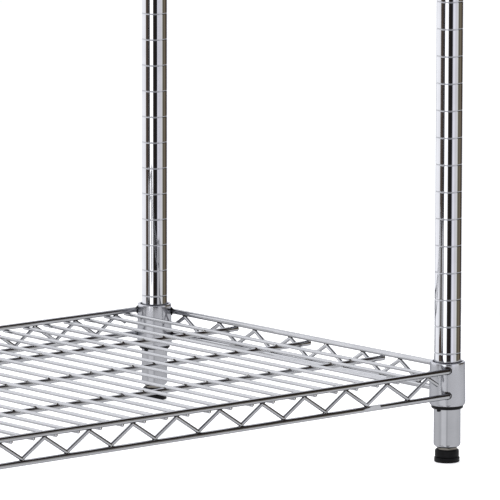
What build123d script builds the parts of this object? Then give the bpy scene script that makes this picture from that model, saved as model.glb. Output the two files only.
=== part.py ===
from build123d import *
import os
import math

# Free-standing wire shelving rack, four shelves on four grooved tube posts.
# Millimetres. Origin on the floor at the centre of the footprint, +Z up,
# X along the long side, front at -Y.

# ---------------------------------------------------------------- dimensions
# posts
POST_X = 444.0            # post axis from centre, long way
POST_Y = 214.0            # post axis from centre, short way
POST_R = 12.7             # 25.4 mm tube
POST_WALL = 1.2
POST_BOTTOM = 14.3        # lower end above the floor, levellers screwed home
POST_TOP = 1822.0
CURL_R = 3.5              # rolled-in lower end of the tube
GROOVE_PITCH = 25.4
GROOVE_FIRST = 78.4       # first groove above the floor
GROOVE_COUNT = 69
GROOVE_DEPTH = 0.4
GROOVE_HALF = 0.85

# shelf levels: top face of the corner collars
LEVELS = [95.5 + GROOVE_PITCH * n for n in (0, 22, 44, 67)]

# corner collars
COLLAR_H = 41.2
COLLAR_R_TOP = 16.6
COLLAR_R_BOTTOM = 17.1
BORE_R_TOP = 14.0         # tapered bore, wider at the bottom
BORE_R_BOTTOM = 15.35

# split sleeves
SLEEVE_GAP = 0.3          # running gap between sleeve cone and collar bore
SLEEVE_BORE_R = 12.75
SLEEVE_TOP_DROP = 1.5     # sleeve top below collar top
SLEEVE_LIP = 3.2          # sleeve shown below the collar
SLEEVE_SLIT = 0.5
BEAD_R = 12.4            # inner bead that sits in a groove
BEAD_DROP = 17.1          # bead below collar top
TAB_ANGLE = 191.0

# shelf wires
RAIL_R = 2.65
RAIL_OFFSET = 14.4        # rail centre outside the post axis
RAIL_END = 10.5           # rail end short of the post axis
RAIL_CUT_R = 16.3         # rail ends are coped to this radius on the collar
TOP_RAIL_DROP = 6.9       # front and back top rail centre below collar top
BOTTOM_RAIL_DROP = 30.4
SIDE_RAIL_LOWER = 1.2     # side rails sit this much below front and back rails
TRUSS_R = 1.8
TRUSS_INSET = 3.55        # zigzag apex centre inside the rail centre
TRUSS_BEND = 2.6
TRUSS_PITCH_X = 50.8
TRUSS_PITCH_Y = 52.7
TRUSS_TOPS_X = 17
TRUSS_TOPS_Y = 8
TRUSS_TAIL = 12.2          # cut end runs this far past the last apex
DECK_R = 1.7
DECK_PITCH = 25.4
DECK_COUNT = 34
DECK_DROP = 10.0          # deck wire centre below collar top
DECK_END = 1.5            # wire end past the front rail centre
SUPPORT_R = 2.6
SUPPORT_DROP = 13.1
SUPPORT_Y = (-107.0, 0.0, 107.0)
SUPPORT_END = 1.8         # wire end past the side rail centre

# levelling feet
STEM_R = 5.0              # M10 stem
STEM_TOP = 40.0
HEX_AF = 17.0
PAD_R = 11.95
PAD_H = 4.8
KNOB_R = 11.35
KNOB_BOTTOM = 5.1
KNOB_TOP = 12.0
INSERT_R = 11.45
INSERT_BOTTOM = 18.0
INSERT_TOP = 38.0
INSERT_BORE_R = 5.05

# post caps
CAP_TOP = 1829.0
CAP_PLUG_R = 11.45
CAP_PLUG_LEN = 16.0

CORNERS = {
    "front_left": (-POST_X, -POST_Y),
    "front_right": (POST_X, -POST_Y),
    "back_left": (-POST_X, POST_Y),
    "back_right": (POST_X, POST_Y),
}

os.makedirs("parts", exist_ok=True)


# ------------------------------------------------------------------- helpers
def turned(points):
    """Solid of revolution about Z from (radius, height) points."""
    face = make_face(Polyline(*points, close=True))
    return revolve(Plane.XZ * face, axis=Axis.Z)


def arc_points(cr, cz, r, a0, a1, n):
    """Points on an arc in the (radius, height) plane, angles in degrees."""
    out = []
    for i in range(n + 1):
        a = math.radians(a0 + (a1 - a0) * i / n)
        out.append((cr + r * math.cos(a), cz + r * math.sin(a)))
    return out


def save(name, solids):
    group = []
    for s in solids:
        group.extend(s.solids())
    shape = group[0] if len(group) == 1 else Compound(group)
    export_step(shape, "parts/" + name + ".step")


def wire_x(r, half, y, z, edge):
    """Straight wire along X with softened ends."""
    w = Rot(0, 90, 0) * Cylinder(r, 2 * half)
    w = fillet(w.edges().filter_by(GeomType.CIRCLE), edge)
    return Pos(0, y, z) * w


def wire_y(r, half, x, z, edge):
    """Straight wire along Y with softened ends."""
    w = Rot(90, 0, 0) * Cylinder(r, 2 * half)
    w = fillet(w.edges().filter_by(GeomType.CIRCLE), edge)
    return Pos(x, 0, z) * w


def coped(wire):
    """Rail ends shaped to seat on the outside of the round collars."""
    for x, y in CORNERS.values():
        wire = wire - Pos(x, y, wire.center().Z) * Cylinder(RAIL_CUT_R, 30)
    return wire


def zigzag(tops, pitch, z_top, z_bottom):
    """Bent zigzag wire along X in the XZ plane, centred on X = 0."""
    slope = (z_top - z_bottom) / (pitch / 2)
    first = -pitch * (tops - 1) / 2
    pts = [(first - TRUSS_TAIL, 0, z_top - slope * TRUSS_TAIL)]
    for i in range(tops):
        pts.append((first + i * pitch, 0, z_top))
        if i < tops - 1:
            pts.append((first + (i + 0.5) * pitch, 0, z_bottom))
    pts.append((-first + TRUSS_TAIL, 0, z_top - slope * TRUSS_TAIL))
    path = FilletPolyline(*pts, radius=TRUSS_BEND)
    section = Plane(origin=path @ 0, z_dir=path % 0) * Circle(TRUSS_R)
    return sweep(section, path=path)


# --------------------------------------------------------------------- posts
def post():
    r = POST_R
    ri = POST_R - POST_WALL
    outer = arc_points(r - CURL_R, POST_BOTTOM + CURL_R, CURL_R, -90, 0, 6)
    for n in range(GROOVE_COUNT):
        z = GROOVE_FIRST + n * GROOVE_PITCH
        outer += [
            (r, z - GROOVE_HALF),
            (r - GROOVE_DEPTH, z - 0.3),
            (r - GROOVE_DEPTH, z + 0.3),
            (r, z + GROOVE_HALF),
        ]
    outer.append((r, POST_TOP))
    inner = [(ri, POST_TOP)]
    inner += arc_points(r - CURL_R, POST_BOTTOM + CURL_R,
                        CURL_R - POST_WALL, 0, -90, 6)
    return turned(outer + inner)


def cap():
    r = POST_R
    dome = [
        (0, CAP_TOP),
        (6.0, CAP_TOP - 0.5),
        (10.0, CAP_TOP - 1.7),
        (12.0, CAP_TOP - 3.2),
        (r, CAP_TOP - 5.0),
        (r, POST_TOP + 0.05),
        (CAP_PLUG_R, POST_TOP + 0.05),
        (CAP_PLUG_R, POST_TOP - CAP_PLUG_LEN + 1.0),
        (CAP_PLUG_R - 1.0, POST_TOP - CAP_PLUG_LEN),
        (9.2, POST_TOP - CAP_PLUG_LEN),
        (9.2, POST_TOP + 1.5),
        (0, POST_TOP + 1.5),
    ]
    return turned(dome)


# ------------------------------------------------------------ levelling feet
def insert():
    """Threaded plug pressed in the lower end of the tube."""
    return turned([
        (INSERT_BORE_R, INSERT_BOTTOM),
        (INSERT_R - 1.0, INSERT_BOTTOM),
        (INSERT_R, INSERT_BOTTOM + 1.0),
        (INSERT_R, INSERT_TOP),
        (INSERT_BORE_R, INSERT_TOP),
    ])


def leveller_screw():
    """Threaded stem with a hexagon flange above the knob."""
    stem = turned([
        (0, 3.6),
        (4.2, 3.6),
        (STEM_R, 4.4),
        (STEM_R, STEM_TOP - 1.2),
        (STEM_R - 1.2, STEM_TOP),
        (0, STEM_TOP),
    ])
    hexagon = Pos(0, 0, KNOB_TOP + 0.05) * extrude(
        RegularPolygon(HEX_AF / 2, 6, major_radius=False), 1.9)
    return stem + hexagon


def leveller_knob():
    return turned([
        (STEM_R + 0.02, KNOB_BOTTOM),
        (KNOB_R - 0.5, KNOB_BOTTOM),
        (KNOB_R, KNOB_BOTTOM + 0.5),
        (KNOB_R, KNOB_TOP - 1.2),
        (KNOB_R - 0.4, KNOB_TOP - 0.4),
        (KNOB_R - 1.2, KNOB_TOP),
        (STEM_R + 0.02, KNOB_TOP),
    ])


def sole_pad():
    """Foot sole with a pocket for the end of the stem."""
    return turned([
        (0, 0),
        (PAD_R - 0.6, 0),
        (PAD_R, 0.6),
        (PAD_R, PAD_H - 1.0),
        (PAD_R - 0.6, PAD_H),
        (STEM_R + 0.35, PAD_H),
        (STEM_R + 0.35, 3.2),
        (0, 3.2),
    ])


# ---------------------------------------------------- one shelf, collar top 0
def collar():
    h = COLLAR_H
    rb = COLLAR_R_BOTTOM
    return turned([
        (BORE_R_TOP, 0),
        (COLLAR_R_TOP - 0.5, 0),
        (COLLAR_R_TOP, -0.5),
        (rb, -h + 3.6),
        (rb - 0.2, -h + 2.2),
        (rb - 0.65, -h + 0.9),
        (rb - 1.3, -h),
        (BORE_R_BOTTOM, -h),
    ])


def split_sleeve():
    """Two plastic half shells, tapered outside, bead inside."""
    taper = (BORE_R_BOTTOM - BORE_R_TOP) / COLLAR_H
    r0 = BORE_R_TOP - SLEEVE_GAP
    top = -SLEEVE_TOP_DROP
    low = -COLLAR_H - SLEEVE_LIP
    rl = r0 + taper * COLLAR_H
    shell = turned([
        (SLEEVE_BORE_R, top),
        (r0 + taper * SLEEVE_TOP_DROP, top),
        (rl, -COLLAR_H),
        (rl, low + 1.0),
        (rl - 0.8, low),
        (SLEEVE_BORE_R, low),
        (SLEEVE_BORE_R, -BEAD_DROP - 0.65),
        (BEAD_R, -BEAD_DROP - 0.2),
        (BEAD_R, -BEAD_DROP + 0.2),
        (SLEEVE_BORE_R, -BEAD_DROP + 0.65),
    ])
    tab = Pos(13.6, 0, low - 0.8) * Box(1.6, 2.8, 2.4)
    shell = shell + Rot(0, 0, TAB_ANGLE) * tab
    slit = Rot(0, 0, TAB_ANGLE + 90) * Box(60, SLEEVE_SLIT, 200)
    return shell - slit


side_x = POST_X + RAIL_OFFSET
front_y = POST_Y + RAIL_OFFSET
rail_half_x = POST_X - RAIL_END
rail_half_y = POST_Y - RAIL_END

one_collar = collar()
one_sleeve = split_sleeve()
collars = [Pos(x, y, 0) * one_collar for x, y in CORNERS.values()]
sleeves = [Pos(x, y, 0) * one_sleeve for x, y in CORNERS.values()]

z_top = -TOP_RAIL_DROP
z_bottom = -BOTTOM_RAIL_DROP
top_rails = [coped(wire_x(RAIL_R, rail_half_x, s * front_y, z_top, 1.3))
             for s in (-1, 1)]
top_rails += [coped(wire_y(RAIL_R, rail_half_y, s * side_x,
                           z_top - SIDE_RAIL_LOWER, 1.3)) for s in (-1, 1)]
bottom_rails = [coped(wire_x(RAIL_R, rail_half_x, s * front_y, z_bottom, 1.3))
                for s in (-1, 1)]
bottom_rails += [coped(wire_y(RAIL_R, rail_half_y, s * side_x,
                              z_bottom - SIDE_RAIL_LOWER, 1.3))
                 for s in (-1, 1)]

long_zigzag = zigzag(TRUSS_TOPS_X, TRUSS_PITCH_X,
                     z_top - TRUSS_INSET, z_bottom + TRUSS_INSET)
short_zigzag = zigzag(TRUSS_TOPS_Y, TRUSS_PITCH_Y,
                      z_top - SIDE_RAIL_LOWER - TRUSS_INSET,
                      z_bottom - SIDE_RAIL_LOWER + TRUSS_INSET)
trusses = [Pos(0, s * front_y, 0) * long_zigzag for s in (-1, 1)]
trusses += [Pos(s * side_x, 0, 0) * Rot(0, 0, 90) * short_zigzag
            for s in (-1, 1)]

deck = [wire_y(DECK_R, front_y + DECK_END,
               DECK_PITCH * (i - (DECK_COUNT - 1) / 2), -DECK_DROP, 0.4)
        for i in range(DECK_COUNT)]
supports = [wire_x(SUPPORT_R, side_x + SUPPORT_END, y, -SUPPORT_DROP, 0.6)
            for y in SUPPORT_Y]

for k, level in enumerate(LEVELS, start=1):
    up = Pos(0, 0, level)
    tag = "shelf_%d_" % k
    save(tag + "corner_collars", [up * s for s in collars])
    save(tag + "top_rails", [up * s for s in top_rails])
    save(tag + "bottom_rails", [up * s for s in bottom_rails])
    save(tag + "truss_wires", [up * s for s in trusses])
    save(tag + "deck_wires", [up * s for s in deck])
    save(tag + "support_wires", [up * s for s in supports])
    for name, s in zip(CORNERS, sleeves):
        save("sleeve_%d_%s" % (k, name), [up * s])

one_post = post()
one_cap = cap()
one_insert = insert()
one_screw = leveller_screw()
one_knob = leveller_knob()
one_pad = sole_pad()
for name, (x, y) in CORNERS.items():
    at = Pos(x, y, 0)
    save("post_" + name, [at * one_post])
    save("leveller_screw_" + name, [at * one_screw])
    save("leveller_knob_" + name, [at * one_knob])
    save("leveller_pad_" + name, [at * one_pad])
save("post_caps", [Pos(x, y, 0) * one_cap for x, y in CORNERS.values()])
save("foot_inserts", [Pos(x, y, 0) * one_insert for x, y in CORNERS.values()])
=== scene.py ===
import math

import bpy
import numpy as np
from mathutils import Matrix, Vector


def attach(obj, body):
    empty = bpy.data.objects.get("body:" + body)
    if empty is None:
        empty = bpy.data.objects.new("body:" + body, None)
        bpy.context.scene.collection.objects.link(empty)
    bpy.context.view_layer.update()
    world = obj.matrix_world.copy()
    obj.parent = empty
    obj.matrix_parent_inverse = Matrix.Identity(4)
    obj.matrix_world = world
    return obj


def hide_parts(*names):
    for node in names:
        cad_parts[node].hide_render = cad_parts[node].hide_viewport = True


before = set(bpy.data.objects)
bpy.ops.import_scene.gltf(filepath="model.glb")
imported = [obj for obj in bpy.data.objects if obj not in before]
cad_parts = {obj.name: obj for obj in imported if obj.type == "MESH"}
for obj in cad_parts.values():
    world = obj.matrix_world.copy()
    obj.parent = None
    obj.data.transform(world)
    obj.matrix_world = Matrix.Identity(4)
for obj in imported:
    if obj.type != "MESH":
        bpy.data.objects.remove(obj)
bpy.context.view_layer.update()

MM = 0.001

# ------------------------------------------------------------- dimensions, mm
POST_X, POST_Y, POST_R = 444.0, 214.0, 12.7
POST_BOTTOM, POST_TOP, CURL_R, POST_WALL = 14.3, 1822.0, 3.5, 1.2
GROOVE_PITCH, GROOVE_FIRST, GROOVE_COUNT = 25.4, 78.4, 69
GROOVE_DEPTH = 0.26
LEVELS = [95.5 + GROOVE_PITCH * n for n in (0, 22, 44, 67)]
COLLAR_H, COLLAR_RT, COLLAR_RB = 41.2, 16.6, 17.1
BORE_RT, BORE_RB = 14.0, 15.35
RAIL_R, RAIL_OFF, RAIL_END, RAIL_CUT = 2.65, 14.4, 10.5, 16.3
TOP_DROP, BOT_DROP, SIDE_LOWER = 6.9, 30.4, 1.2
TRUSS_R, TRUSS_INSET, TRUSS_BEND = 1.8, 3.55, 2.6
PITCH_X, PITCH_Y, TOPS_X, TOPS_Y, TAIL = 50.8, 52.7, 17, 8, 12.2
DECK_R, DECK_PITCH, DECK_N, DECK_DROP, DECK_END = 1.7, 25.4, 34, 10.0, 1.5
SUP_R, SUP_DROP, SUP_Y, SUP_END = 2.6, 13.1, (-107.0, 0.0, 107.0), 1.8
SIDE_X, FRONT_Y = POST_X + RAIL_OFF, POST_Y + RAIL_OFF
CORNERS = {
    "front_left": (-POST_X, -POST_Y),
    "front_right": (POST_X, -POST_Y),
    "back_left": (-POST_X, POST_Y),
    "back_right": (POST_X, POST_Y),
}
rng = np.random.RandomState(7)


# ------------------------------------------------------------- mesh building
class Mesh:
    """Collects vertices (mm) and faces, with a material index per face."""

    def __init__(self):
        self.v, self.f, self.m, self.n = [], [], [], 0

    def add(self, verts, faces, mat=0):
        verts = np.asarray(verts, float)
        self.v.append(verts)
        n = self.n
        self.f += [tuple(i + n for i in f) for f in faces]
        self.m += [mat] * len(faces)
        self.n += len(verts)

    def data(self, name, materials, sharp=38):
        me = bpy.data.meshes.new(name)
        me.from_pydata((np.concatenate(self.v) * MM).tolist(), [], self.f)
        for m in materials:
            me.materials.append(m)
        me.polygons.foreach_set("material_index", self.m)
        me.polygons.foreach_set("use_smooth", [True] * len(self.f))
        me.set_sharp_from_angle(angle=math.radians(sharp))
        me.update()
        return me


def grid_faces(rows, cols, wrap=True, flip=False):
    out = []
    last = cols if wrap else cols - 1
    for i in range(rows - 1):
        a, b = i * cols, (i + 1) * cols
        for j in range(last):
            k = (j + 1) % cols
            q = (a + j, a + k, b + k, b + j)
            out.append(q[::-1] if flip else q)
    return out


def lathe(profile, n=72, closed=False, a0=0.0, a1=360.0, at=(0, 0, 0)):
    """Turned surface from (radius, height) points."""
    full = abs(a1 - a0 - 360) < 1e-6
    ang = np.radians(a0 + (a1 - a0) * np.arange(n) / (n if full else n - 1))
    pr = np.array(profile + [profile[0]] if closed else profile, float)
    r, z = pr[:, 0][:, None], pr[:, 1][:, None]
    x, y = r * np.cos(ang)[None], r * np.sin(ang)[None]
    v = np.stack([x, y, np.broadcast_to(z, x.shape)], -1).reshape(-1, 3)
    f = grid_faces(len(pr), n, wrap=full)
    if not full and closed:
        m = len(pr) - 1
        f.append(tuple(i * n for i in range(m)))
        f.append(tuple(i * n + n - 1 for i in reversed(range(m))))
    return v + np.array(at, float), f


def rounded(points, radius, steps=7):
    """Polyline with its inner corners rounded."""
    p = [np.array(q, float) for q in points]
    out = [p[0]]
    for a, b, c in zip(p, p[1:], p[2:]):
        u, w = (a - b) / np.linalg.norm(a - b), (c - b) / np.linalg.norm(c - b)
        half = math.acos(max(-1, min(1, float(u @ w)))) / 2
        d = radius / math.tan(half)
        centre = b + (u + w) / np.linalg.norm(u + w) * radius / math.sin(half)
        s, e = b + u * d - centre, b + w * d - centre
        total = math.acos(max(-1, min(1, float(s @ e) / radius ** 2)))
        for i in range(steps + 1):
            t = i / steps
            k = (math.sin((1 - t) * total) * s + math.sin(t * total) * e)
            out.append(centre + k / math.sin(total))
    out.append(p[-1])
    return np.array(out)


def tube(path, r, n=18, bevel=0.4, up=(0, 0, 1), wobble=0.0):
    """Round wire along a path, with softened cut ends."""
    p = np.array(path, float)
    t = np.gradient(p, axis=0)
    t[0], t[-1] = p[1] - p[0], p[-1] - p[-2]
    t /= np.linalg.norm(t, axis=1)[:, None]
    upv = np.array(up, float)
    side = np.cross(t, upv)
    side /= np.linalg.norm(side, axis=1)[:, None]
    nor = np.cross(side, t)
    cen, rad, ss, nn = [], [], [], []

    def ring(c, rr, i):
        cen.append(c); rad.append(rr); ss.append(side[i]); nn.append(nor[i])

    ring(p[0] + t[0] * 0.0, r * 0.02, 0)
    ring(p[0] + t[0] * 0.03 * r, r - bevel, 0)
    ring(p[0] + t[0] * bevel * 0.35, r - bevel * 0.3, 0)
    ring(p[0] + t[0] * bevel * 1.1, r, 0)
    for i in range(1, len(p) - 1):
        ring(p[i], r, i)
    e = len(p) - 1
    ring(p[e] - t[e] * bevel * 1.1, r, e)
    ring(p[e] - t[e] * bevel * 0.35, r - bevel * 0.3, e)
    ring(p[e] - t[e] * 0.03 * r, r - bevel, e)
    ring(p[e], r * 0.02, e)
    cen, rad = np.array(cen), np.array(rad)
    ss, nn = np.array(ss), np.array(nn)
    if wobble:
        cen = cen + rng.normal(0, wobble, (len(cen), 1)) * nn
    a = 2 * np.pi * np.arange(n) / n
    v = (cen[:, None] + rad[:, None, None] *
         (np.cos(a)[None, :, None] * ss[:, None] +
          np.sin(a)[None, :, None] * nn[:, None]))
    return v.reshape(-1, 3), grid_faces(len(cen), n, flip=False)


def line(a, b, fine=0.0, steps=2):
    """Points on a straight run, closely spaced near both ends if asked."""
    a, b = np.array(a, float), np.array(b, float)
    length = np.linalg.norm(b - a)
    if fine:
        near = np.arange(0, fine, 1.0)
        s = np.concatenate([near, np.linspace(fine, length - fine, steps),
                            length - near[::-1]])
    else:
        s = np.linspace(0, length, steps)
    return a + (b - a) / length * s[:, None]


def blob(mesh, at, size, seed, mat=1, n=10, m=7, axis=None):
    """Small lumpy weld bead."""
    g = np.random.RandomState(seed)
    th = np.linspace(0.04, math.pi - 0.04, m)
    ph = 2 * np.pi * np.arange(n) / n
    T, P = np.meshgrid(th, ph, indexing="ij")
    lump = 1 + 0.10 * np.sin(2 * P + g.rand() * 6) * np.sin(T) \
        + 0.07 * np.sin(3 * T + g.rand() * 6)
    x = lump * np.sin(T) * np.cos(P) * size[0] * (0.9 + 0.2 * g.rand())
    y = lump * np.sin(T) * np.sin(P) * size[1] * (0.9 + 0.2 * g.rand())
    z = lump * np.cos(T) * size[2]
    v = np.stack([x, y, z], -1).reshape(-1, 3)
    if axis is not None:
        c, s = math.cos(axis), math.sin(axis)
        v = v @ np.array([[c, s, 0], [-s, c, 0], [0, 0, 1]])
    mesh.add(v + np.array(at, float), grid_faces(m, n, flip=True), mat)


def cope(v):
    """Keeps rail ends out of the collar bore."""
    v = np.array(v)
    for x, y in CORNERS.values():
        d = v[:, :2] - np.array([x, y])
        r = np.linalg.norm(d, axis=1)
        k = (r < RAIL_CUT)
        v[k, :2] = np.array([x, y]) + d[k] / r[k][:, None] * RAIL_CUT
    return v


# ----------------------------------------------------------------- materials
def tree(name):
    m = bpy.data.materials.new(name)
    m.use_nodes = True
    nt = m.node_tree
    nt.nodes.clear()
    out = nt.nodes.new("ShaderNodeOutputMaterial")
    b = nt.nodes.new("ShaderNodeBsdfPrincipled")
    nt.links.new(b.outputs[0], out.inputs[0])
    return m, nt, b


def node(nt, kind, **kw):
    n = nt.nodes.new(kind)
    for k, v in kw.items():
        if k.startswith("in_"):
            key = k[3:]
            n.inputs[int(key) if key.isdigit() else key.replace("_", " ")].default_value = v
        else:
            setattr(n, k, v)
    return n


def noise(nt, coord, scale, detail=3.0, rough=0.5, stretch=None):
    src = coord
    if stretch is not None:
        mp = node(nt, "ShaderNodeMapping")
        mp.inputs["Scale"].default_value = stretch
        nt.links.new(coord, mp.inputs["Vector"])
        src = mp.outputs[0]
    n = node(nt, "ShaderNodeTexNoise")
    n.inputs["Scale"].default_value = scale
    n.inputs["Detail"].default_value = detail
    n.inputs["Roughness"].default_value = rough
    nt.links.new(src, n.inputs["Vector"])
    return n.outputs[0]


def ramp(nt, fac, stops, interp="LINEAR"):
    r = nt.nodes.new("ShaderNodeValToRGB")
    r.color_ramp.interpolation = interp
    el = r.color_ramp.elements
    while len(el) > 1:
        el.remove(el[-1])
    for i, (p, c) in enumerate(stops):
        e = el[0] if i == 0 else el.new(p)
        e.position = p
        e.color = (*c, 1) if len(c) == 3 else c
    nt.links.new(fac, r.inputs[0])
    return r.outputs[0]


def remap(nt, val, a, b, lo=0.0, hi=1.0):
    n = node(nt, "ShaderNodeMapRange")
    n.inputs[1].default_value = a
    n.inputs[2].default_value = b
    n.inputs[3].default_value = lo
    n.inputs[4].default_value = hi
    nt.links.new(val, n.inputs[0])
    return n.outputs[0]


def bump(nt, bsdf, height, strength, distance):
    n = node(nt, "ShaderNodeBump")
    n.inputs["Strength"].default_value = strength
    n.inputs["Distance"].default_value = distance
    nt.links.new(height, n.inputs["Height"])
    nt.links.new(n.outputs[0], bsdf.inputs["Normal"])


def mix_height(nt, a, b, k):
    m1 = node(nt, "ShaderNodeMath", operation="MULTIPLY")
    m1.inputs[1].default_value = k
    nt.links.new(b, m1.inputs[0])
    m2 = node(nt, "ShaderNodeMath", operation="ADD")
    nt.links.new(a, m2.inputs[0])
    nt.links.new(m1.outputs[0], m2.inputs[1])
    return m2.outputs[0]


def chrome(name, light, dark, r_lo, r_hi, wave=0.05, grain=900.0, stretch=None,
           edge=0.6):
    """Plated steel: faint cloudiness, haze patches, plating waviness."""
    m, nt, b = tree(name)
    co = nt.nodes.new("ShaderNodeTexCoord").outputs["Object"]
    cloud = noise(nt, co, 38.0, 4.0, 0.6)
    nt.links.new(ramp(nt, cloud, [(0.30, dark), (0.62, light)]),
                 b.inputs["Base Color"])
    haze = noise(nt, co, 160.0, 5.0, 0.65, stretch)
    nt.links.new(remap(nt, haze, 0.35, 0.75, r_lo, r_hi), b.inputs["Roughness"])
    slow = noise(nt, co, 55.0, 2.0, 0.4)
    fine = noise(nt, co, grain, 3.0, 0.6, stretch)
    bump(nt, b, mix_height(nt, slow, fine, 0.12), wave, 0.0012)
    b.inputs["Metallic"].default_value = 1.0
    b.inputs["Specular Tint"].default_value = (edge * 0.96, edge * 0.97, edge, 1.0)
    return m


def plastic(name, col_a, col_b, r_lo, r_hi, grain, depth, spec=0.45):
    """Moulded plastic: fine texture, slightly scuffed."""
    m, nt, b = tree(name)
    co = nt.nodes.new("ShaderNodeTexCoord").outputs["Object"]
    cloud = noise(nt, co, 210.0, 4.0, 0.6)
    nt.links.new(ramp(nt, cloud, [(0.35, col_a), (0.70, col_b)]),
                 b.inputs["Base Color"])
    sc = noise(nt, co, 420.0, 4.0, 0.7)
    nt.links.new(remap(nt, sc, 0.35, 0.7, r_lo, r_hi), b.inputs["Roughness"])
    g = noise(nt, co, grain, 2.0, 0.5)
    bump(nt, b, g, depth, 0.0004)
    b.inputs["Specular IOR Level"].default_value = spec
    return m


def weld(name, painted_glint=0.60):
    """Weld metal: near-black base colour as painted shade, broken by small bright patches as
    painted glints.
    """
    m, nt, b = tree(name)
    co = nt.nodes.new("ShaderNodeTexCoord").outputs["Object"]
    fine = noise(nt, co, 620.0, 2.0, 0.5)
    # base colour: near-black painted shade, with painted glints in the top stop of the noise
    nt.links.new(ramp(nt, fine, [(0.36, (0.02, 0.018, 0.015)),
                                 (0.54, (0.05, 0.045, 0.04)),
                                 (0.66, (painted_glint, painted_glint, painted_glint * 0.96))]),
                 b.inputs["Base Color"])
    rough = noise(nt, co, 1100.0, 3.0, 0.6)
    nt.links.new(remap(nt, rough, 0.35, 0.7, 0.10, 0.28), b.inputs["Roughness"])
    bump(nt, b, noise(nt, co, 1500.0, 3.0, 0.6), 0.35, 0.0012)
    b.inputs["Metallic"].default_value = 1.0
    return m


M_POST = chrome("chrome_tube", (0.385, 0.39, 0.41), (0.355, 0.36, 0.38),
                0.03, 0.055, 0.006, 700.0, (1, 1, 0.06), 0.65)
M_COLLAR = chrome("chrome_collar", (0.40, 0.405, 0.43), (0.375, 0.38, 0.405),
                  0.14, 0.20, 0.025, 900.0, None, 0.55)
M_WIRE = chrome("chrome_wire", (0.385, 0.39, 0.405), (0.345, 0.35, 0.365),
                0.05, 0.11, 0.05, 900.0, None, 0.42)
# weld blobs at wire crossings: near-black painted shade with painted glints
M_WELD_SHADE_GLINT = weld("weld_bead_painted_shade_glint")
# near-black ring round the rail ends: painted shade, with only faint painted glints
M_WELD_SHADE = weld("weld_painted_shade", 0.12)
M_ZINC = chrome("zinc_steel", (0.22, 0.205, 0.185), (0.15, 0.14, 0.125),
                0.28, 0.42, 0.20, 1400.0, None, 0.6)
M_SLEEVE = plastic("sleeve_plastic", (0.004, 0.004, 0.0045), (0.008, 0.008, 0.009),
                   0.36, 0.52, 2600.0, 0.20, 0.10)
M_FOOT = plastic("foot_plastic", (0.004, 0.004, 0.0045), (0.009, 0.009, 0.010),
                 0.40, 0.58, 2200.0, 0.28, 0.08)


def place(name, me, z, body, nodes, xy=(0, 0)):
    o = bpy.data.objects.new(name, me)
    bpy.context.scene.collection.objects.link(o)
    o.location = (xy[0] * MM, xy[1] * MM, z * MM)
    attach(o, body)
    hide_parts(*nodes)
    return o


# --------------------------------------------------------------------- posts
def post_profile():
    r, c = POST_R, CURL_R
    pts = [(r - c - 0.02, POST_BOTTOM + POST_WALL + 0.6),
           (r - c - 0.02, POST_BOTTOM + 0.25), (r - c + 0.25, POST_BOTTOM)]
    for i in range(1, 13):
        a = math.radians(-90 + 90 * i / 12)
        pts.append((r - c + c * math.cos(a), POST_BOTTOM + c + c * math.sin(a)))
    pts += [(r, POST_BOTTOM + c + 0.5), (r, POST_BOTTOM + c + 2.0)]
    d = GROOVE_DEPTH
    for k in range(GROOVE_COUNT):
        z = GROOVE_FIRST + k * GROOVE_PITCH
        for h, q in ((-3.0, 0.0), (-1.4, 0.0), (-0.72, 0.0), (-0.6, 0.06),
                     (-0.42, 0.4), (-0.22, 0.85), (0.0, 1.0), (0.22, 0.85),
                     (0.42, 0.4), (0.6, 0.06), (0.72, 0.0), (1.4, 0.0),
                     (3.0, 0.0)):
            pts.append((r - d * q, z + h))
    pts += [(r, POST_TOP - 1.5), (r, POST_TOP - 0.3), (r - 0.3, POST_TOP), (r - 1.2, POST_TOP)]
    return pts


m = Mesh()
m.add(*lathe(post_profile(), n=88))
post_me = m.data("post_tube", [M_POST], 50)

m = Mesh()
R, Z = POST_R, 1829.0
m.add(*lathe([(0.02, Z), (2.5, Z - 0.05), (5.0, Z - 0.28), (7.5, Z - 0.7),
              (9.5, Z - 1.25), (11.0, Z - 1.95), (12.0, Z - 2.85),
              (12.5, Z - 3.8), (R, Z - 5.0), (R, POST_TOP + 0.35),
              (R - 0.2, POST_TOP + 0.08), (11.45, POST_TOP + 0.05)][::-1], n=72))
cap_me = m.data("cap_shell", [M_SLEEVE], 50)

# ------------------------------------------------------------ levelling feet
m = Mesh()
m.add(*lathe([(5.35, 3.4), (5.35, 4.5), (5.6, 4.8), (11.25, 4.8), (11.7, 4.62),
              (11.9, 4.3), (11.95, 3.9), (11.95, 0.9), (11.8, 0.35),
              (11.35, 0.05), (9.4, 0.02), (9.2, 0.45), (6.4, 0.45), (6.2, 0.02),
              (0.02, 0.0)][::-1], n=72))
m.add(*lathe([(5.35, 3.3), (0.02, 3.2)][::-1], n=48))
pad_me = m.data("pad_moulding", [M_FOOT], 32)

m = Mesh()
prof = [(5.02, 12.0), (9.6, 12.0), (10.2, 11.95), (10.75, 11.7), (11.1, 11.3),
        (11.3, 10.8), (11.35, 10.2), (11.35, 6.0), (11.25, 5.5), (11.0, 5.2),
        (10.6, 5.1), (5.02, 5.1)]
v, f = lathe(prof[::-1], n=96)
# shallow grip flutes round the knob, inside its outline
ang = np.arctan2(v[:, 1], v[:, 0])
rad = np.hypot(v[:, 0], v[:, 1])
side = (rad > 11.0) & (v[:, 2] > 5.4) & (v[:, 2] < 11.4)
k = 1 - 0.006 * (0.5 - 0.5 * np.cos(24 * ang))
v[side, 0] *= k[side]
v[side, 1] *= k[side]
m.add(v, f)
knob_me = m.data("knob_moulding", [M_FOOT], 32)


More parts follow.
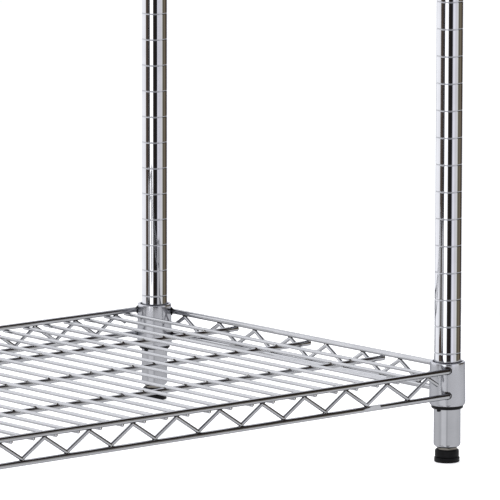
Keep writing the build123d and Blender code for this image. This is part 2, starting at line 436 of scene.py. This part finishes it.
def thread(r_major, r_minor, z0, z1, pitch, n=36, per=8):
    rows = int((z1 - z0) / pitch * per) + 1
    zs = np.linspace(z0, z1, rows)
    a = 2 * np.pi * np.arange(n) / n
    Zg, A = np.meshgrid(zs, a, indexing="ij")
    ph = ((Zg - pitch * A / (2 * np.pi)) / pitch) % 1.0
    tri = np.abs(2 * ph - 1)
    k = np.clip((tri - 0.12) / 0.76, 0, 1)
    rr = r_minor + (r_major - r_minor) * k
    fade = np.clip((z1 - Zg) / 1.6, 0, 1) * np.clip((Zg - z0) / 1.0, 0, 1)
    rr = r_minor + (rr - r_minor) * fade
    v = np.stack([rr * np.cos(A), rr * np.sin(A), Zg], -1).reshape(-1, 3)
    return v, grid_faces(rows, n)


m = Mesh()
m.add(*thread(5.0, 4.15, 13.9, 39.8, 1.5))
m.add(*lathe([(4.15, 39.8), (3.4, 40.0), (0.02, 40.0)], n=36))
m.add(*lathe([(0.02, 3.6), (4.2, 3.6), (5.0, 4.4), (5.0, 12.2)], n=36))
af = 8.5
hexv, hexf = [], []
rows = [(0.90, 12.06), (0.985, 12.25), (1.0, 12.5), (1.0, 13.45), (0.985, 13.7),
        (0.90, 13.93), (0.45, 13.94)]
nn_ = 72
for kk, z in rows:
    for j in range(nn_):
        a = 2 * math.pi * j / nn_
        loc = (a + math.pi / 6) % (math.pi / 3) - math.pi / 6
        rh = af / math.cos(loc)
        rh = min(rh * kk if kk < 0.9 else rh, af / math.cos(math.pi / 6) * kk)
        hexv.append((rh * math.cos(a + math.pi / 6), rh * math.sin(a + math.pi / 6), z))
m.add(hexv, grid_faces(len(rows), nn_))
screw_me = m.data("screw_hex", [M_ZINC], 25)

for c, (x, y) in CORNERS.items():
    place("post_tube_" + c, post_me, 0, "frame", ["post_" + c], (x, y))
    place("cap_shell_" + c, cap_me, 0, "frame", ["post_caps"], (x, y))
    place("pad_moulding_" + c, pad_me, 0, "pad_" + c, ["leveller_pad_" + c],
          (x, y))
    place("knob_moulding_" + c, knob_me, 0, "screw_" + c, ["leveller_knob_" + c],
          (x, y))
    place("screw_hex_" + c, screw_me, 0, "screw_" + c, ["leveller_screw_" + c],
          (x, y))
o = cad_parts["foot_inserts"]
o.data.materials.clear()
o.data.materials.append(M_ZINC)
for p in o.data.polygons:
    p.material_index = 0

# -------------------------------------------------------------------- collars
h, rb = COLLAR_H, COLLAR_RB
collar_prof = [
    (BORE_RB, -h + 0.3), (BORE_RB + 0.2, -h + 0.02), (rb - 1.35, -h),
    (rb - 1.0, -h + 0.35), (rb - 0.62, -h + 0.95), (rb - 0.3, -h + 1.75),
    (rb - 0.1, -h + 2.7), (rb, -h + 3.6), (rb - 0.01, -h + 4.4),
    (rb - 0.12, -h + 12),
    (rb - 0.25, -h + 22), (rb - 0.4, -h + 33), (COLLAR_RT + 0.03, -2.0), (COLLAR_RT + 0.02, -1.2),
    (COLLAR_RT - 0.03, -0.6), (COLLAR_RT - 0.2, -0.2), (COLLAR_RT - 0.55, 0.0),
    (BORE_RT + 0.6, 0.0), (BORE_RT + 0.2, -0.15), (BORE_RT + 0.02, -0.6),
]
m = Mesh()
for x, y in CORNERS.values():
    m.add(*lathe(collar_prof, n=96, closed=True, at=(x, y, 0)))
collar_me = m.data("collars_mesh", [M_COLLAR], 60)

# -------------------------------------------------------------------- sleeves
TAB_ANGLE = 191.0
taper = (BORE_RB - BORE_RT) / COLLAR_H
r0 = BORE_RT - 0.3
low = -COLLAR_H - 3.2
rl = r0 + taper * COLLAR_H
sl = [(12.75, low + 0.3), (12.95, low), (rl - 0.9, low), (rl - 0.35, low + 0.25),
      (rl - 0.08, low + 0.7), (rl, low + 1.2), (rl, -COLLAR_H),
      (r0 + taper * 20, -20), (r0 + taper * 1.9, -1.9), (r0 + taper * 1.5 - 0.3, -1.5),
      (12.95, -1.5), (12.75, -1.8), (12.75, -16.45), (12.4, -16.9),
      (12.4, -17.3), (12.75, -17.75)]
m = Mesh()
for s in (0, 180):
    m.add(*lathe(sl, n=40, closed=True, a0=TAB_ANGLE + 90 + s + 1.05,
                 a1=TAB_ANGLE + 90 + s + 178.95))
a = math.radians(TAB_ANGLE)
ca, sa = math.cos(a), math.sin(a)
tab = []
for dz, g in ((0.4, 1.0), (-1.5, 1.0), (-1.85, 0.85), (-2.0, 0.55)):
    for u, w in ((12.85, -1.4), (14.35, -1.4), (14.35, 1.4), (12.85, 1.4)):
        uu, ww = 13.6 + (u - 13.6) * g, w * g
        tab.append((uu * ca - ww * sa, uu * sa + ww * ca, low + dz))
m.add(tab, grid_faces(4, 4, flip=True) + [(12, 15, 14, 13)])
sleeve_me = m.data("sleeves_mesh", [M_SLEEVE], 35)

# ---------------------------------------------------------------------- rails
hx, hy = POST_X - RAIL_END, POST_Y - RAIL_END


def rails(drop):
    m = Mesh()
    for s in (-1, 1):
        v, f = tube(line((-hx, s * FRONT_Y, -drop), (hx, s * FRONT_Y, -drop),
                         16, 18), RAIL_R, 24, 2.2)
        m.add(cope(v), f)
        v, f = tube(line((s * SIDE_X, -hy, -drop - SIDE_LOWER),
                         (s * SIDE_X, hy, -drop - SIDE_LOWER), 16, 10),
                    RAIL_R, 24, 2.2)
        m.add(cope(v), f)
        for t in (-1, 1):
            # weld bead round each rail end, lying on the collar
            blob(m, (t * (hx - 0.9), s * (POST_Y + 14.6), -drop + 0.3),
                 (2.1, 2.1, 2.3), 5, mat=0, n=20, m=14)
            blob(m, (s * (POST_X + 14.6), t * (hy - 0.9), -drop - SIDE_LOWER + 0.3),
                 (2.1, 2.1, 2.3), 5, mat=0, n=20, m=14)
            # ring of near-black blobs round the rail end: painted shade outlining the weld
            for i in range(11):
                w = math.radians(-105 + 21 * i)
                a, b = 3.0 * math.cos(w) - 1.2, 3.0 * math.sin(w) + 0.2
                out = math.sqrt(16.9 ** 2 - (RAIL_END - a) ** 2) + 0.15
                code = int(900 + drop * 10 + s * 31 + t * 17 + i)
                blob(m, (t * (hx + a), s * (POST_Y + out), -drop + b),
                     (1.0, 0.95, 1.0), code, mat=2)
                blob(m, (s * (POST_X + out), t * (hy + a),
                         -drop - SIDE_LOWER + b),
                     (0.95, 1.0, 1.0), code + 400, mat=2)
    return m


top_me = rails(TOP_DROP).data("top_rails_mesh", [M_WIRE, M_WELD_SHADE_GLINT, M_WELD_SHADE], 45)
bottom_me = rails(BOT_DROP).data("bottom_rails_mesh", [M_WIRE, M_WELD_SHADE_GLINT, M_WELD_SHADE], 45)


# --------------------------------------------------------------------- zigzag
def zigzag(tops, pitch, z_top, z_bot):
    slope = (z_top - z_bot) / (pitch / 2)
    first = -pitch * (tops - 1) / 2
    pts = [(first - TAIL, 0, z_top - slope * TAIL)]
    for i in range(tops):
        pts.append((first + i * pitch, 0, z_top))
        if i < tops - 1:
            pts.append((first + (i + 0.5) * pitch, 0, z_bot))
    pts.append((-first + TAIL, 0, z_top - slope * TAIL))
    return rounded(pts, TRUSS_BEND, 7)


m = Mesh()
zt, zb = -TOP_DROP - TRUSS_INSET, -BOT_DROP + TRUSS_INSET
px = zigzag(TOPS_X, PITCH_X, zt, zb)
py = zigzag(TOPS_Y, PITCH_Y, zt - SIDE_LOWER, zb - SIDE_LOWER)
py = py[:, [1, 0, 2]]
seed = 0
for s in (-1, 1):
    v, f = tube(px, TRUSS_R, 18, 0.4, up=(0, 1, 0))
    m.add(v + np.array([0, s * FRONT_Y, 0]), f)
    v, f = tube(py, TRUSS_R, 18, 0.4, up=(1, 0, 0))
    m.add(v + np.array([s * SIDE_X, 0, 0]), f)
    for tops, pitch, along in ((TOPS_X, PITCH_X, 0), (TOPS_Y, PITCH_Y, 1)):
        dz = SIDE_LOWER if along else 0.0
        for i in range(2 * tops - 1):
            u = (i - (tops - 1)) * pitch / 2
            up_ = i % 2 == 0
            z = (-TOP_DROP - RAIL_R + 0.1 if up_ else -BOT_DROP + RAIL_R - 0.1) - dz
            # weld blobs at each zigzag apex: painted shade with painted glints
            for q in (-1, 1):
                seed += 1
                off = q * 0.75
                at = (u, s * FRONT_Y + off, z) if not along else (s * SIDE_X + off, u, z)
                sz = (2.7, 1.25, 0.75) if not along else (1.25, 2.7, 0.75)
                blob(m, at, sz, seed, n=8, m=6)
truss_me = m.data("zigzag_mesh", [M_WIRE, M_WELD_SHADE_GLINT], 50)

# ----------------------------------------------------------------- deck wires
m = Mesh()
half = FRONT_Y + DECK_END
for i in range(DECK_N):
    x = DECK_PITCH * (i - (DECK_N - 1) / 2)
    v, f = tube(line((x, -half, -DECK_DROP), (x, half, -DECK_DROP), 0, 24),
                DECK_R, 18, 0.45, wobble=0.02)
    m.add(v, f)
    # weld blobs either side of each deck/support crossing: painted shade with painted glints
    for y in SUP_Y:
        seed += 1
        for q in (-1, 1):
            blob(m, (x + q * 2.0, y, -DECK_DROP - 0.95), (1.9, 2.3, 1.25),
                 seed * 2 + q, n=12, m=8)
    # weld blobs where deck wires meet the front rails: painted shade with painted glints
    for s in (-1, 1):
        seed += 1
        for q in (-1, 1):
            blob(m, (x + q * 1.15, s * (FRONT_Y - 0.2), -DECK_DROP + 1.15),
                 (0.9, 1.7, 0.6), seed * 2 + q, n=8, m=6)
deck_me = m.data("deck_mesh", [M_WIRE, M_WELD_SHADE_GLINT], 50)

# -------------------------------------------------------------- support wires
m = Mesh()
half = SIDE_X + SUP_END
for y in SUP_Y:
    v, f = tube(line((-half, y, -SUP_DROP), (half, y, -SUP_DROP), 0, 40),
                SUP_R, 24, 0.7, wobble=0.02)
    m.add(v, f)
    for s in (-1, 1):
        # weld blobs where supports meet the side rails: painted shade with painted glints
        seed += 1
        for q in (-1, 1):
            blob(m, (s * SIDE_X, y + q * 1.5, -SUP_DROP + 2.1), (1.9, 1.1, 0.6),
                 seed * 2 + q, n=8, m=6)
support_me = m.data("support_mesh", [M_WIRE, M_WELD_SHADE_GLINT], 50)

for k, level in enumerate(LEVELS, start=1):
    tag = "shelf_%d_" % k
    body = "frame" if k == 1 else "shelf_%d" % k
    place(tag + "collars", collar_me, level, body, [tag + "corner_collars"])
    place(tag + "rails_upper", top_me, level, body, [tag + "top_rails"])
    place(tag + "rails_lower", bottom_me, level, body, [tag + "bottom_rails"])
    place(tag + "zigzag", truss_me, level, body, [tag + "truss_wires"])
    for o in (place(tag + "deck", deck_me, level, body, [tag + "deck_wires"]),
              place(tag + "supports", support_me, level, body,
                    [tag + "support_wires"])):
        o.visible_glossy = False
    for c, xy in CORNERS.items():
        place("sleeve_shells_%d_%s" % (k, c), sleeve_me, level, "frame",
              ["sleeve_%d_%s" % (k, c)], xy)

# ---------------------------------------------------------------------- stage
def hull(points):
    """Convex outline, counter-clockwise."""
    pts = sorted(set(points))
    out = []
    for seq in (pts, pts[::-1]):
        part = []
        for q in seq:
            while len(part) > 1 and ((part[-1][0] - part[-2][0]) * (q[1] - part[-2][1])
                                     - (part[-1][1] - part[-2][1]) * (q[0] - part[-2][0])) <= 0:
                part.pop()
            part.append(q)
        out += part[:-1]
    return out


FLOOR_NEAR, FLOOR_FAR = 600.0, 200.0
ring_pts = []
for x, y in CORNERS.values():
    fr = FLOOR_NEAR if x > 0 else FLOOR_FAR
    ring_pts += [(round(x + fr * math.cos(math.radians(3 * i)), 3),
                  round(y + fr * math.sin(math.radians(3 * i)), 3))
                 for i in range(120)]
edge_pts = np.array([(x, y, 0.0) for x, y in hull(ring_pts)])
mid = np.array([150.0, 0.0, 0.0])
rows = [mid + (edge_pts - mid) * k / 12 for k in range(1, 13)]
m = Mesh()
m.add(np.concatenate(rows), grid_faces(12, len(edge_pts)) + [tuple(range(len(edge_pts)))])
fm, nt, b = tree("floor_pale")
co = nt.nodes.new("ShaderNodeTexCoord").outputs["Object"]
nt.links.new(ramp(nt, noise(nt, co, 6.0, 3.0, 0.5),
                  [(0.3, (0.83, 0.835, 0.85)), (0.7, (0.86, 0.865, 0.88))]),
             b.inputs["Base Color"])
b.inputs["Roughness"].default_value = 0.9
b.inputs["Specular IOR Level"].default_value = 0.1
b.inputs["Emission Color"].default_value = (1.0, 1.0, 1.0, 1.0)
b.inputs["Emission Strength"].default_value = 0.50
floor = bpy.data.objects.new("floor", m.data("floor_mesh", [fm], 60))
bpy.context.scene.collection.objects.link(floor)
floor.visible_glossy = False

# grey cards round the feet, seen only in reflections
CAM_AZ = math.atan2(-0.7381, -0.6747)  # from the rack to the camera
CARD_R, CARD_TOP = 100.0, 81.0
card_mat = bpy.data.materials.new("card")
card_mat.use_nodes = True
nt = card_mat.node_tree
nt.nodes.clear()
co = nt.nodes.new("ShaderNodeTexCoord").outputs["Object"]
sep = nt.nodes.new("ShaderNodeSeparateXYZ")
nt.links.new(co, sep.inputs[0])
at2 = node(nt, "ShaderNodeMath", operation="ARCTAN2")
nt.links.new(sep.outputs[1], at2.inputs[0])
nt.links.new(sep.outputs[0], at2.inputs[1])
turn = remap(nt, at2.outputs[0], -math.pi, math.pi, 0.0, 1.0)
card = []
for t, k in ((-170, 1.10), (-78, 1.05), (-57, 0.90), (-50, 0.98), (-42, 1.26),
             (-14, 1.24), (-6, 1.08), (-1, 0.62), (4, 1.0), (20, 1.04),
             (60, 1.10), (100, 1.04), (160, 1.10)):
    w = (((CAM_AZ + math.radians(t)) / (2 * math.pi)) + 0.5) % 1.0
    card.append((w, (k, k, k * 1.015)))
card.sort()
edge = (1.08, 1.08, 1.096)
em = nt.nodes.new("ShaderNodeEmission")
nt.links.new(ramp(nt, turn, [(0.0, edge)] + card + [(1.0, edge)]), em.inputs[0])
out = nt.nodes.new("ShaderNodeOutputMaterial")
nt.links.new(em.outputs[0], out.inputs[0])
m = Mesh()
m.add(*lathe([(CARD_R, -30.0), (CARD_R, CARD_TOP)], n=72))
card_me = m.data("card_mesh", [card_mat])
for c, (x, y) in CORNERS.items():
    o = bpy.data.objects.new("card_" + c, card_me)
    o.location = (x * MM, y * MM, 0)
    o.visible_camera = False
    o.visible_diffuse = False
    o.visible_transmission = False
    o.visible_shadow = False
    bpy.context.scene.collection.objects.link(o)

sc = bpy.context.scene
sc.view_settings.view_transform = "Standard"
sc.view_settings.look = "None"
world = bpy.data.worlds.new("studio")
sc.world = world
world.use_nodes = True
nt = world.node_tree
nt.nodes.clear()
wout = nt.nodes.new("ShaderNodeOutputWorld")
geo = nt.nodes.new("ShaderNodeTexCoord")
sep = nt.nodes.new("ShaderNodeSeparateXYZ")
nt.links.new(geo.outputs["Generated"], sep.inputs[0])
at2 = node(nt, "ShaderNodeMath", operation="ARCTAN2")
nt.links.new(sep.outputs[1], at2.inputs[0])
nt.links.new(sep.outputs[0], at2.inputs[1])
# turn: 0..1 counter-clockwise from -X towards ... (atan2 / 2pi + 0.5)
turn = remap(nt, at2.outputs[0], -math.pi, math.pi, 0.0, 1.0)

def at(theta):
    """Position on the ramp of a direction theta degrees right of the camera."""
    a = CAM_AZ + math.radians(theta)
    return ((a / (2 * math.pi)) + 0.5) % 1.0


W2, W1 = (3.6, 3.6, 3.6), (1.9, 1.9, 1.95)
G0 = (0.65, 0.65, 0.69)
low_ring = [
    (-178, (2.7, 2.7, 2.7)), (-130, (2.5, 2.5, 2.5)), (-100, (2.1, 2.1, 2.15)),
    (-83, (2.1, 2.1, 2.12)), (-76, (0.17, 0.115, 0.08)), (-60, (0.16, 0.125, 0.10)),
    (-52, (0.05, 0.045, 0.045)), (-40, (0.04, 0.036, 0.036)), (-34, W2),
    (-14, W2), (-7, (0.075, 0.06, 0.05)), (4, (0.04, 0.033, 0.028)),
    (25, (0.028, 0.028, 0.035)), (32, (1.85, 1.84, 1.97)), (44, (1.85, 1.84, 1.95)),
    (52, (1.5, 1.47, 1.54)), (66, (1.5, 1.48, 1.52)), (74, (1.7, 1.7, 1.64)),
    (83, (0.30, 0.26, 0.18)), (96, (0.25, 0.22, 0.15)), (106, (0.45, 0.37, 0.27)),
    (113, (0.36, 0.30, 0.21)), (124, (0.10, 0.067, 0.044)),
    (143, (0.12, 0.09, 0.07)), (153, W1)]
pts = sorted((at(t), c) for t, c in low_ring)
first, last = pts[0], pts[-1]
g = (first[0]) / (first[0] + 1 - last[0])
edge = tuple(first[1][i] * (1 - g) + last[1][i] * g for i in range(3))
low_col = ramp(nt, turn, [(0.0, edge)] + pts + [(1.0, edge)])
DK = (0.055, 0.045, 0.038)
mid_ring = [(-174, W1), (-130, (2.0, 2.0, 2.03)), (-100, (1.7, 1.7, 1.75)),
            (-60, (1.5, 1.5, 1.55)), (-30, G0), (40, G0), (68, (1.15, 1.15, 1.2)),
            (79, (1.05, 1.05, 1.1)), (83, DK), (142, DK), (154, W1)]
pts = sorted((at(t), c) for t, c in mid_ring)
first, last = pts[0], pts[-1]
g = (first[0]) / (first[0] + 1 - last[0])
edge = tuple(first[1][i] * (1 - g) + last[1][i] * g for i in range(3))
mid_col = ramp(nt, turn, [(0.0, edge)] + pts + [(1.0, edge)])


def mixc(fac, a, b):
    n = nt.nodes.new("ShaderNodeMix")
    n.data_type = "RGBA"
    nt.links.new(fac, n.inputs[0])
    for s, v in ((6, a), (7, b)):
        if isinstance(v, tuple):
            n.inputs[s].default_value = (*v, 1)
        else:
            nt.links.new(v, n.inputs[s])
    return n.outputs[2]


lift = remap(nt, sep.outputs[2], -0.03, 0.10)
col = mixc(lift, low_col, mid_col)
lift2 = remap(nt, sep.outputs[2], 0.76, 0.84)
col = mixc(lift2, col, (0.05, 0.05, 0.052))
drop_ = remap(nt, sep.outputs[2], -0.24, -0.30)
drop_ring = [(-178, 1.14), (-120, 1.12), (-86, 1.08), (-72, 0.42), (-44, 0.36),
             (-34, 1.35), (-12, 1.35), (-4, 0.42), (24, 0.36), (34, 1.2),
             (78, 1.10), (150, 1.08)]
pts = sorted((at(t), (k, k, k * 1.02)) for t, k in drop_ring)
drop_col = ramp(nt, turn, [(0.0, (1.13, 1.13, 1.15))] + pts + [(1.0, (1.13, 1.13, 1.15))])
col = mixc(drop_, col, drop_col)
lp = nt.nodes.new("ShaderNodeLightPath")
bg_s = nt.nodes.new("ShaderNodeBackground")
nt.links.new(col, bg_s.inputs[0])
bg_s.inputs[1].default_value = 1.0
bg_c = nt.nodes.new("ShaderNodeBackground")
bg_c.inputs[0].default_value = (1.02, 1.02, 1.02, 1)
ms = nt.nodes.new("ShaderNodeMixShader")
nt.links.new(lp.outputs["Is Camera Ray"], ms.inputs[0])
nt.links.new(bg_s.outputs[0], ms.inputs[1])
nt.links.new(bg_c.outputs[0], ms.inputs[2])
nt.links.new(ms.outputs[0], wout.inputs[0])


def softbox(name, loc, target, size, watts):
    l = bpy.data.lights.new(name, "AREA")
    l.shape, l.size, l.energy = "RECTANGLE", size[0], watts
    l.size_y = size[1]
    o = bpy.data.objects.new(name, l)
    o.location = loc
    o.rotation_mode = "QUATERNION"
    o.rotation_quaternion = (Vector(target) - Vector(loc)).to_track_quat("-Z", "Y")
    sc.collection.objects.link(o)
    return o


over = softbox("overhead", (0.1, 0.0, 4.2), (0.1, 0.0, 0.0), (3.4, 3.4), 95)
over.visible_glossy = False

# --------------------------------------------------------------------- camera
CAM = dict(x=-3969.77542 + POST_X, y=-4342.76093 - POST_Y, z=1133.13788,
           yaw=0.70915, pit=0.15735, roll=0.00180, f=6388.94311)
cy_, sy_ = math.cos(CAM["yaw"]), math.sin(CAM["yaw"])
cp_, sp_ = math.cos(CAM["pit"]), math.sin(CAM["pit"])
fwd = Vector((sy_ * cp_, cy_ * cp_, -sp_))
rt = Vector((cy_, -sy_, 0))
up = rt.cross(fwd)
cr_, sr_ = math.cos(CAM["roll"]), math.sin(CAM["roll"])
r2, u2 = cr_ * rt + sr_ * up, -sr_ * rt + cr_ * up
cam = bpy.data.cameras.new("camera")
cam.sensor_width = 36.0
cam.lens = CAM["f"] / 500 * 36.0
cam.clip_start, cam.clip_end = 0.1, 60.0
co_ = bpy.data.objects.new("camera", cam)
mw = Matrix.Identity(4)
for i in range(3):
    mw[i][0], mw[i][1], mw[i][2] = r2[i], u2[i], -fwd[i]
mw[0][3], mw[1][3], mw[2][3] = (CAM[k] * MM for k in ("x", "y", "z"))
co_.matrix_world = mw
sc.collection.objects.link(co_)
sc.camera = co_
